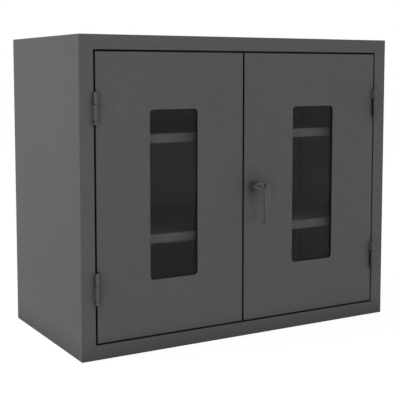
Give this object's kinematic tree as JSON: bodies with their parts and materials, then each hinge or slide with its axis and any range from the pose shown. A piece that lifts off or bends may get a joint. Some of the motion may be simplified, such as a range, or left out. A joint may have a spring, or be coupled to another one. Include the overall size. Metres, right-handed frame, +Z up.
{
  "type": "tool cabinet",
  "caption": "Welded steel tool cabinet with a framed front, windowed doors on barrel hinges, shelves and a turn handle that drives a rod latch.",
  "frame": {"origin": "middle of the base, where the cabinet stands on the floor", "axes": "+X to the right along the width, doors face -Y, +Z up"},
  "size_m": [0.914, 0.525, 0.768],
  "materials": {
    "powder_coat": "satin fine-texture powder coat",
    "shelf_coat": "satin fine-texture powder coat",
    "handle_coat": "satin powder coat over a casting",
    "zinc_steel": "zinc-plated",
    "rubber": "matt",
    "smoked_pane": "smoked clear sheet"
  },
  "bodies": {
    "cabinet": {"frame_left": "powder_coat", "frame_right": "powder_coat", "frame_top": "powder_coat", "frame_bottom": "powder_coat", "side_left": "powder_coat", "side_right": "powder_coat", "top_panel": "powder_coat", "bottom_panel": "powder_coat", "back_panel": "powder_coat", "upright_front_left": "shelf_coat", "upright_front_right": "shelf_coat", "upright_rear_left": "shelf_coat", "upright_rear_right": "shelf_coat", "shelf_lower": "shelf_coat", "shelf_upper": "shelf_coat", "shelf_clips_lower": "zinc_steel", "shelf_clips_upper": "zinc_steel", "door_stops": "powder_coat", "stop_bumpers": "rubber", "frame_knuckle_left_upper": "powder_coat", "frame_knuckle_left_lower": "powder_coat", "frame_knuckle_right_upper": "powder_coat", "frame_knuckle_right_lower": "powder_coat", "hinge_pin_left_upper": "powder_coat", "hinge_pin_left_lower": "powder_coat", "hinge_pin_right_upper": "powder_coat", "hinge_pin_right_lower": "powder_coat", "hinge_washers": "zinc_steel"},
    "left_door": {"door_left": "powder_coat", "door_knuckle_left_upper": "powder_coat", "door_knuckle_left_lower": "powder_coat", "window_seal_left": "rubber", "window_pane_left": "smoked_pane", "window_retainer_left": "powder_coat", "window_studs_left": "zinc_steel", "window_nuts_left": "zinc_steel", "bolt_bracket": "zinc_steel"},
    "left_door_bolt": {"left_bolt": "zinc_steel"},
    "right_door": {"door_right": "powder_coat", "door_knuckle_right_upper": "powder_coat", "door_knuckle_right_lower": "powder_coat", "window_seal_right": "rubber", "window_pane_right": "smoked_pane", "window_retainer_right": "powder_coat", "window_studs_right": "zinc_steel", "window_nuts_right": "zinc_steel", "handle_rose": "handle_coat", "spindle_bush": "zinc_steel", "rod_guides": "zinc_steel"},
    "turn_handle": {"handle": "handle_coat", "spindle": "zinc_steel", "latch_cam": "zinc_steel", "cam_nut": "zinc_steel"},
    "upper_latch_rod": {"upper_rod": "zinc_steel"},
    "lower_latch_rod": {"lower_rod": "zinc_steel"}
  },
  "joints": [
    {"name": "left_door_hinge", "type": "hinge", "parent": "cabinet", "child": "left_door", "pos_m": [-0.4184, -0.2343, 0.38425], "axis": [0, 0, -1], "range_deg": [0, 180]},
    {"name": "right_door_hinge", "type": "hinge", "parent": "cabinet", "child": "right_door", "pos_m": [0.4184, -0.2343, 0.38425], "axis": [0, 0, 1], "range_deg": [0, 180]},
    {"name": "handle_turn", "type": "hinge", "parent": "right_door", "child": "turn_handle", "pos_m": [0.022, -0.2285, 0.388], "axis": [0, -1, 0], "range_deg": [0, 90]},
    {"name": "upper_rod_slide", "type": "slide", "parent": "right_door", "child": "upper_latch_rod", "axis": [0, 0, 1], "range_m": [0, 0.017]},
    {"name": "lower_rod_slide", "type": "slide", "parent": "right_door", "child": "lower_latch_rod", "axis": [0, 0, -1], "range_m": [0, 0.017]},
    {"name": "left_bolt_slide", "type": "slide", "parent": "left_door", "child": "left_door_bolt", "axis": [0, 0, 1], "range_m": [0, 0.017]}
  ],
  "couplings": [
    {"joint": "upper_rod_slide", "follows": "handle_turn", "m_per_rad": 0.0108},
    {"joint": "lower_rod_slide", "follows": "handle_turn", "m_per_rad": 0.0108}
  ]
}
